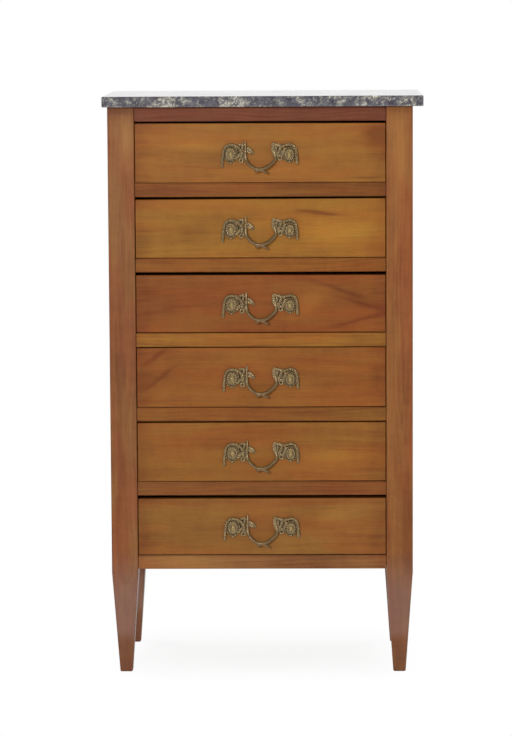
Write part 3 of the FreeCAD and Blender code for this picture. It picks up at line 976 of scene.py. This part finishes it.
@dataclass
class RibbonPull:
    """Cast pull: two medallions under garlands and knotted ribbons, and a hanging stem with crossed ends."""

    voxel: float = 0.46
    lump: float = 3.0
    lump_height: float = 0.8
    medallions: tuple[Medallion, ...] = (
        Medallion(-60.6, -2.0), Medallion(60.4, -3.6, half_width=14.2, half_height=16.8),
        Medallion(-40.0, 1.0, half_width=6.4, half_height=15.0, profile=BACKPLATE),
        Medallion(39.0, 1.5, half_width=8.4, half_height=14.0, profile=BACKPLATE),
    )
    ribbons: tuple[Strand, ...] = (
        Strand((
            (-73.5, 9.5, 3.2, 2.4), (-69.5, 14.2, 4.0, 2.8), (-60.6, 17.0, 4.6, 2.8),
            (-51.5, 15.6, 4.6, 2.8), (-44.5, 11.2, 4.8, 2.8), (-40.0, 5.0, 5.2, 2.9),
            (-37.6, -2.0, 5.2, 2.8), (-39.4, -10.0, 4.4, 2.4),
        ), Twine.GARLAND),
        Strand((
            (-72.6, 12.5, 3.2, 2.2), (-74.9, 5.0, 3.8, 2.6), (-76.4, -5.0, 4.2, 2.7),
            (-77.3, -15.0, 4.4, 2.8), (-77.9, -24.5, 4.6, 2.8), (-78.1, -28.4, 4.4, 2.3),
        ), Twine.GARLAND),
        Strand((
            (-50.0, -13.0, 3.2, 2.6), (-46.5, -8.5, 4.0, 2.8), (-41.5, -3.5, 4.6, 2.8),
            (-38.2, 3.0, 4.8, 2.8), (-36.6, 10.0, 4.4, 2.4), (-34.5, 16.5, 3.6, 2.2),
        )),
        Strand((
            (-46.0, 15.0, 3.0, 2.4), (-41.0, 17.0, 3.6, 2.6), (-36.0, 18.0, 3.4, 2.4),
            (-31.0, 16.4, 3.0, 2.0),
        )),
        Strand((
            (-34.0, 5.0, 2.8, 2.4), (-33.6, -2.0, 3.0, 2.8), (-34.0, -10.0, 3.2, 2.6),
            (-33.0, -15.0, 3.4, 2.2),
        )),
        Strand((
            (-29.5, 9.6, 3.4, 2.6), (-25.5, 9.6, 3.8, 2.9), (-20.8, 7.6, 4.4, 3.0), (-16.6, 3.6, 4.4, 2.7),
            (-13.6, -0.8, 3.4, 1.6), (-12.6, -2.8, 2.8, 0.9),
        )),
        Strand((
            (-29.5, 3.6, 3.2, 2.6), (-25.5, 3.4, 3.6, 2.7), (-20.5, 1.4, 3.8, 2.4), (-16.8, -1.6, 3.0, 1.4),
            (-15.4, -2.8, 2.6, 0.9),
        )),
        Strand((
            (41.0, 14.6, 3.4, 2.4), (47.5, 14.6, 4.4, 2.8), (53.5, 16.0, 4.8, 2.9), (60.4, 17.4, 4.8, 3.0),
            (68.0, 15.4, 4.6, 3.0), (73.0, 9.0, 4.2, 3.1), (74.6, 0.0, 4.2, 3.3), (75.4, -9.7, 4.4, 3.4),
            (75.7, -18.0, 4.6, 3.3), (75.6, -22.6, 4.4, 2.8),
        ), Twine.GARLAND),
        Strand((
            (27.5, 18.5, 3.2, 2.8), (33.0, 17.2, 3.8, 2.8), (39.0, 15.8, 4.2, 2.7), (46.0, 14.4, 4.0, 2.4),
        )),
        Strand((
            (35.8, -4.5, 4.0, 2.4), (38.4, 1.5, 5.0, 2.6), (40.8, 7.2, 5.2, 2.6), (42.8, 13.4, 4.4, 2.4),
        )),
        Strand((
            (45.4, -4.0, 3.6, 2.2), (47.8, 0.5, 4.4, 2.5), (49.8, 5.0, 4.6, 2.6), (52.0, 10.0, 4.0, 2.3),
        )),
        Strand((
            (28.2, 20.5, 3.2, 3.0), (26.6, 13.0, 3.8, 3.6), (27.4, 5.0, 4.4, 4.0), (30.0, -2.5, 4.8, 3.8),
            (32.0, -8.5, 5.0, 3.0),
        )),
        Strand((
            (34.4, 16.0, 2.8, 2.2), (33.0, 8.0, 3.6, 2.4), (33.0, 0.0, 4.0, 2.2), (34.4, -6.0, 3.8, 2.0),
        )),
        Strand((
            (32.0, -8.0, 4.2, 2.6), (36.5, -6.2, 4.2, 2.4), (41.0, -5.0, 4.0, 2.3), (46.5, -6.5, 3.4, 2.2),
        )),
    )
    stems: tuple[Strand, ...] = (
        Strand((
            (-29.4, 25.0, 3.0, 1.4), (-29.6, 18.0, 4.0, 1.9), (-29.7, 10.0, 4.8, 2.1),
            (-29.9, 2.0, 5.4, 2.3), (-29.9, -6.0, 5.8, 2.6), (-29.0, -12.5, 6.4, 3.1),
            (-26.4, -18.6, 8.8, 3.5), (-20.6, -24.8, 12.2, 3.6), (-11.7, -30.3, 16.0, 3.6),
            (-2.0, -32.4, 17.8, 3.7), (8.8, -30.7, 16.4, 3.6), (17.8, -26.2, 12.8, 3.6),
            (26.6, -19.4, 9.0, 3.5), (31.4, -11.8, 6.4, 3.2), (31.2, -5.5, 5.0, 2.8), (28.6, 2.0, 4.2, 2.2),
        ), Twine.STEM),
        Strand((
            (4.0, -32.2, 16.8, 2.4), (-0.6, -33.4, 17.4, 2.8), (-4.4, -35.2, 17.2, 2.8),
            (-7.6, -37.4, 16.0, 2.6), (-9.8, -39.2, 14.8, 1.9),
        ), Twine.STEM),
        Strand((
            (-5.4, -32.2, 16.8, 2.4), (0.0, -33.6, 18.0, 2.9), (5.6, -35.6, 17.6, 3.0),
            (11.0, -38.2, 16.0, 2.9), (15.4, -40.4, 14.4, 2.2),
        ), Twine.STEM),
    )
    eyelets: tuple[Eyelet, ...] = (Eyelet(-38.9, -15.2), Eyelet(41.1, -10.9))
    buds: tuple[Bud, ...] = (
        Bud((-60.6, -2.0, 4.7), 2.8, 2.0), Bud((59.8, -1.6, 4.7), 2.6, 1.8), Bud((59.2, -9.0, 4.2), 2.4),
        Bud((-60.2, -20.2, 3.0), 2.6), Bud((60.2, -18.4, 3.0), 2.4), Bud((-60.6, 17.6, 5.2), 2.3),
        Bud((60.4, 18.6, 5.4), 2.6), Bud((-77.8, -26.6, 3.8), 2.8), Bud((75.6, -21.4, 4.0), 3.0),
        Bud((-38.2, 1.4, 5.4), 2.6), Bud((38.6, 4.4, 5.2), 2.1), Bud((-31.0, 16.6, 4.0), 2.1),
        Bud((-48.6, 10.6, 4.4), 2.0), Bud((48.4, 11.4, 4.4), 2.0), Bud((-68.4, 15.4, 4.4), 2.3),
        Bud((-53.4, 16.8, 4.8), 2.3), Bud((54.2, 16.8, 4.8), 2.3), Bud((67.4, 16.4, 4.6), 2.3),
        Bud((-75.0, 6.0, 4.4), 2.2), Bud((74.0, 7.0, 4.8), 2.5), Bud((-45.8, 13.0, 4.4), 2.2),
    )
    casting: Optional[bpy.types.Mesh] = None

    def cast(self) -> None:
        """Run all pieces of the pattern together into one casting, at its real size."""
        pattern = bmesh.new()
        for piece in (*self.medallions, *self.ribbons, *self.stems, *self.eyelets, *self.buds):
            self._absorb(pattern, piece.build())
        stand = Matrix.Rotation(math.pi / 2, 4, "X") @ Matrix.Scale(MM, 4)
        bmesh.ops.transform(pattern, matrix=stand, verts=pattern.verts)
        shape = meshed("pull_pattern", pattern)
        body = shown("pull_pattern", shape)
        remesh = body.modifiers.new("run_together", "REMESH")
        remesh.mode = "VOXEL"
        remesh.voxel_size = self.voxel * MM
        lumps = bpy.data.textures.new("casting_lumps", "CLOUDS")
        lumps.noise_scale = self.lump * MM
        chisel = body.modifiers.new("chisel", "DISPLACE")
        chisel.texture = lumps
        chisel.texture_coords = "LOCAL"
        chisel.strength = self.lump_height * MM
        body.modifiers.new("soften", "SMOOTH")
        graph = bpy.context.evaluated_depsgraph_get()
        self.casting = bpy.data.meshes.new_from_object(body.evaluated_get(graph))
        self.casting.shade_smooth()
        bpy.data.objects.remove(body)
        bpy.data.meshes.remove(shape)
        LOG.info("cast the pull: %d faces", len(self.casting.polygons))

    @staticmethod
    def _absorb(pattern: Shape, piece: Shape) -> None:
        """Add a piece to the pattern.

        Args:
            pattern: The pattern of the whole pull.
            piece: The piece, which is used up.
        """
        mesh = meshed("pattern_piece", piece)
        pattern.from_mesh(mesh)
        bpy.data.meshes.remove(mesh)

    def hang(self, number: int) -> None:
        """Put a pull on one drawer in place of its plain solid.

        Args:
            number: The drawer, counted from the top.
        """
        body = f"drawer_{number}"
        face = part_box(f"{body}_pull")[1][1]
        low, high = (Vector(corner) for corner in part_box(f"{body}_pull_screws"))
        middle = (low.z + high.z) / 2
        mesh = self.casting.copy()
        mesh.name = f"ribbon_pull_{number}"
        mesh.transform(Matrix.Translation(Vector((0.0, face, middle))))
        mesh.materials.append(AgedBrass(f"aged_brass_{number}", face, middle).material())
        pull = shown(mesh.name, mesh)
        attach(pull, body)
        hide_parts(f"{body}_pull")
        LOG.info("hung %s on %s", pull.name, body)


@dataclass
class Drawer:
    """One drawer: the look of its front board and of its plain inside."""

    number: int
    tone: Colour
    heart: Pair
    lean: float
    streaks: tuple[Streak, ...] = ()
    figure: float = 1.0
    inside_tone: Colour = screen(180, 146, 100)
    drawer_seed: float = 3.7
    board_seed: float = 11.3

    def dress(self, steel: Material) -> None:
        """Finish all boards of the drawer.

        Args:
            steel: The finish of its screws.
        """
        name = f"drawer_{self.number}"
        seed = self.drawer_seed * self.number
        front = VarnishedWood(
            f"{name}_front_wood", Grain.FRONT, self.tone, seed, self.figure, heart=self.heart,
            lean=self.lean, streaks=self.streaks,
        )
        dress_board(f"{name}_front", front)
        boards = {
            "left_side": Grain.SIDE, "right_side": Grain.SIDE, "back": Grain.FRONT, "bottom": Grain.LEVEL,
        }
        for place, (board, grain) in enumerate(boards.items(), 1):
            wood = BareWood(f"{name}_{board}_wood", grain, self.inside_tone, seed + self.board_seed * place)
            dress_board(f"{name}_{board}", wood)
        dress(f"{name}_pull_screws", steel)


@dataclass(frozen=True)
class Board:
    """A board of the carcass: its name, tone, shift of the noise, heart of its tree, and marks."""

    node: str
    tone: Colour
    seed: float
    heart: Pair
    streaks: tuple[Streak, ...] = ()

    def dress(self, grain: Grain, **look: Any) -> None:
        """Finish the board in varnished wood.

        Args:
            grain: How its fibres lie.
            look: Other values of the wood.
        """
        dress_board(self.node, VarnishedWood(
            f"{self.node}_wood", grain, self.tone, self.seed, heart=self.heart, streaks=self.streaks, **look,
        ))


@dataclass
class Carcass:
    """Posts, rails, panels and the runners inside."""

    posts: tuple[Board, ...] = (
        Board("front_left_post", screen(137, 86, 48), 5.1, (-0.286, -0.196), (
            Streak(1.120, -0.276, 0.07, 0.016, 0.02, -0.60), Streak(0.700, -0.290, 0.20, 0.060, 0.0, 0.12),
            # Painted shade: the last streak darkens the post's top under the marble top's overhang.
            Streak(1.176, -0.287, 0.012, 0.060, 0.0, 0.35),
        )),
        Board("front_right_post", screen(141, 86, 44), 12.4, (0.300, -0.200), (
            Streak(0.900, 0.280, 0.04, 0.008, 0.12, -0.40), Streak(1.080, 0.288, 0.10, 0.014, 0.0, -0.55),
            Streak(0.680, 0.290, 0.20, 0.060, 0.0, 0.05), Streak(0.320, 0.290, 0.20, 0.060, 0.0, 0.14),
            # Painted shade: the last streak darkens the post's top under the marble top's overhang.
            Streak(1.176, 0.287, 0.012, 0.060, 0.0, 0.30),
        )),
        Board("back_left_post", screen(132, 82, 46), 19.7, (-0.290, 0.210)),
        Board("back_right_post", screen(132, 82, 46), 27.0, (0.280, 0.212)),
    )
    rails: tuple[Board, ...] = (
        # The top rail's darker tone is partly painted shade of the marble top's overhang, added to the
        # rendered shadow.
        Board("top_front_rail", screen(113, 61, 38), 41.7, (0.0, -0.09)),
        Board("drawer_rail_1", screen(127, 75, 26), 47.6, (0.01, -0.09)),
        Board("drawer_rail_2", screen(136, 80, 25), 53.5, (0.02, -0.09)),
        Board("drawer_rail_3", screen(146, 93, 32), 59.4, (0.03, -0.09)),
        Board("drawer_rail_4", screen(131, 80, 29), 65.3, (0.04, -0.09)),
        Board("drawer_rail_5", screen(127, 75, 32), 71.2, (0.05, -0.09)),
        Board("bottom_front_rail", screen(139, 89, 48), 77.1, (0.06, -0.09), (
            Streak(-0.165, 0.236, 0.050, 0.012, 0.0, -0.60), Streak(0.13, 0.236, 0.09, 0.030, 0.0, 0.25),
        )),
    )
    panel_tone: Colour = screen(138, 86, 44)
    panel_heart: Pair = (0.03, 0.45)
    panel_seeds: tuple[float, ...] = (83.0, 89.7, 96.4)
    frame_heart: Pair = (0.2, 0.35)
    frame_seed: float = 107.0
    inner_tone: Colour = screen(160, 122, 78)
    runner_seed: float = 113.0
    stop_seed: float = 127.0
    foot_height: float = 0.072

    def dress(self) -> None:
        """Finish every board of the carcass."""
        for post in self.posts:
            # The posts' legs get a painted sheen that stands in for the floor's reflection.
            post.dress(
                Grain.UPRIGHT, figure=1.3, ring_pitch=0.0090, ring_share=0.07, lean=0.004, dive=0.034,
                foot_height=self.foot_height, end_shade=0.1, painted_sheen_share=0.35,
                red_factors=(1.02, 0.88, 0.90), golden_factors=(1.02, 1.11, 1.06),
            )
        for rail in self.rails:
            rail.dress(Grain.FRONT, figure=2.0, lean=0.02)
        for node, seed in zip(("left_side_panel", "right_side_panel", "back_panel"), self.panel_seeds):
            Board(node, self.panel_tone, seed, self.panel_heart).dress(
                Grain.UPRIGHT if node == "back_panel" else Grain.SIDE_UPRIGHT, figure=1.5, mottle=0.5,
                ring_pitch=0.0075, ring_share=0.10, lean=0.02, dive=0.06,
            )
        dress_board("carcass_rails", VarnishedWood(
            "frame_rail_wood", Grain.FRAME, self.panel_tone, self.frame_seed, heart=self.frame_heart,
        ))
        runner_wood = BareWood("runner_wood", Grain.SIDE, self.inner_tone, self.runner_seed)
        dress_board("drawer_runners", runner_wood)
        dress_board("drawer_stops", BareWood("stop_wood", Grain.FRONT, self.inner_tone, self.stop_seed))


@dataclass(frozen=True)
class Lamp:
    """A soft square light that faces the chest: its place, its side in metres and its power in watts."""

    name: str
    place: Place
    side: float
    power: float
    mirrored: bool = True
    aim: Place = (0.0, 0.0, 0.6)

    def hang(self) -> None:
        """Put the light into the scene, with polished faces mirroring it or not."""
        data = bpy.data.lights.new(self.name, "AREA")
        data.size = self.side
        data.energy = self.power
        light = shown(self.name, data)
        light.location = self.place
        light.visible_glossy = self.mirrored
        ahead = Vector(self.aim) - Vector(self.place)
        light.rotation_euler = ahead.to_track_quat("-Z", "Y").to_euler()


@dataclass
class Studio:
    """Camera, soft lights, white surroundings and the pale floor."""

    camera_place: Place = (0.1207, -6.4543, 1.4156)
    yaw: float = 1.1934
    pitch: float = -6.3109
    roll: float = -0.3235
    lens: float = 149.56
    sensor: float = 36.0
    shift_y: float = -0.05
    floor_size: float = 30.0
    ambient: float = 0.34
    gloss_front: float = 0.12
    white_behind: Pair = (-0.2, 0.5)
    lamps: tuple[Lamp, ...] = (
        Lamp("key_light", (-2.2, -9.0, 3.0), 1.0, 430.0),
        Lamp("fill_light", (2.6, -3.2, 3.0), 2.6, 22.0),
        Lamp("left_light", (-3.2, 1.6, 2.2), 2.2, 60.0, mirrored=False),
        Lamp("right_light", (3.2, 1.6, 2.2), 2.2, 60.0, mirrored=False),
    )

    def build(self) -> None:
        """Set up everything around the chest."""
        self._camera()
        self._world()
        for lamp in self.lamps:
            lamp.hang()
        self._floor()

    def _camera(self) -> None:
        """Stand the camera at the photograph's viewing angle."""
        yaw, pitch, roll = (math.radians(angle) for angle in (self.yaw, self.pitch, self.roll))
        level = Vector((math.cos(yaw), math.sin(yaw), 0.0))
        forward = Vector((-math.sin(yaw), math.cos(yaw), 0.0))
        ahead = forward * math.cos(pitch) + Vector((0.0, 0.0, math.sin(pitch)))
        upright = level.cross(ahead)
        right = level * math.cos(roll) + upright * math.sin(roll)
        above = upright * math.cos(roll) - level * math.sin(roll)
        data = bpy.data.cameras.new("camera")
        data.lens = self.lens
        data.sensor_width = self.sensor
        data.shift_y = self.shift_y
        camera = shown("camera", data)
        turn = Matrix((right, above, -ahead)).transposed().to_4x4()
        camera.matrix_world = Matrix.Translation(Vector(self.camera_place)) @ turn
        bpy.context.scene.camera = camera

    def _world(self) -> None:
        """White where it is seen or mirrored from behind, and an even, weaker light elsewhere."""
        world = bpy.data.worlds.new("studio")
        bpy.context.scene.world = world
        recipe = Recipe(world)
        even, dim, white = (
            recipe.result("ShaderNodeBackground", 0, {"Color": WHITE, "Strength": strength})
            for strength in (self.ambient, self.gloss_front, 1.0)
        )
        rays = recipe.rays()
        behind = recipe.axes("Generated")["Y"].rise(*self.white_behind)
        seen = (rays["Camera"] + rays["Transmission"] + rays["Glossy"] * behind).least(1.0)
        recipe.close(recipe.layered(seen, recipe.layered(rays["Glossy"], even, dim), white))

    def _floor(self) -> None:
        """Lay the floor under the feet."""
        shape = bmesh.new()
        bmesh.ops.create_grid(shape, x_segments=1, y_segments=1, size=self.floor_size / 2)
        mesh = meshed("floor", shape)
        mesh.materials.append(PaleFloor().material())
        floor = shown("floor", mesh)


def drawers() -> list[Drawer]:
    """The six drawers from the top down, each with its own board.

    Returns:
        The drawers.
    """
    return [
        Drawer(1, screen(146, 92, 34), (1.10, -0.10), 0.02, (
            Streak(0.235, 1.130, 0.025, 0.018, 0.0, 0.50), Streak(-0.13, 1.105, 0.10, 0.014, 0.0, -0.35),
            Streak(0.02, 1.052, 0.11, 0.007, 0.0, -0.30), Streak(0.21, 1.037, 0.05, 0.003, 0.0, 0.50),
        )),
        Drawer(2, screen(150, 98, 33), (0.99, -0.08), 0.04, (
            Streak(0.105, 0.968, 0.030, 0.0035, -0.05, 0.85), Streak(0.140, 0.962, 0.028, 0.003, -0.05, 0.80),
            Streak(0.140, 0.925, 0.100, 0.028, 0.0, -0.58), Streak(-0.13, 0.930, 0.08, 0.030, 0.0, 0.12),
        )),
        Drawer(3, screen(133, 74, 26), (0.76, -0.11), 0.10, (
            Streak(0.095, 0.775, 0.045, 0.026, 0.4, -0.75), Streak(0.165, 0.805, 0.07, 0.007, -0.35, 0.45),
            Streak(0.205, 0.778, 0.06, 0.006, -0.30, 0.40), Streak(0.200, 0.742, 0.07, 0.006, 0.25, 0.45),
            Streak(-0.20, 0.765, 0.05, 0.030, 0.0, 0.20),
        ), 1.15),
        Drawer(4, screen(140, 83, 30), (0.62, -0.07), 0.03, (
            Streak(-0.212, 0.672, 0.030, 0.008, 0.7, 0.38), Streak(-0.19, 0.640, 0.030, 0.006, 0.6, 0.20),
            Streak(-0.215, 0.618, 0.028, 0.006, 0.7, 0.35),
        )),
        Drawer(5, screen(139, 86, 32), (0.44, -0.10), 0.03, (
            Streak(0.15, 0.455, 0.07, 0.022, 0.0, -0.60), Streak(-0.10, 0.480, 0.06, 0.020, 0.0, 0.12),
        )),
        Drawer(6, screen(140, 90, 38), (0.33, -0.09), 0.02, (Streak(0.15, 0.335, 0.05, 0.018, 0.2, -0.35),)),
    ]


def main() -> None:
    """Dress the chest, hang its pulls and set up the studio."""
    logging.basicConfig(level=logging.INFO, format="%(name)s: %(message)s")
    bpy.context.scene.view_settings.view_transform = "Standard"
    dress("marble_top", FossilMarble().material())
    Carcass().dress()
    steel = DullSteel().material()
    pull = RibbonPull()
    pull.cast()
    for drawer in drawers():
        drawer.dress(steel)
        pull.hang(drawer.number)
    Studio().build()


if __name__ == "__main__":
    main()
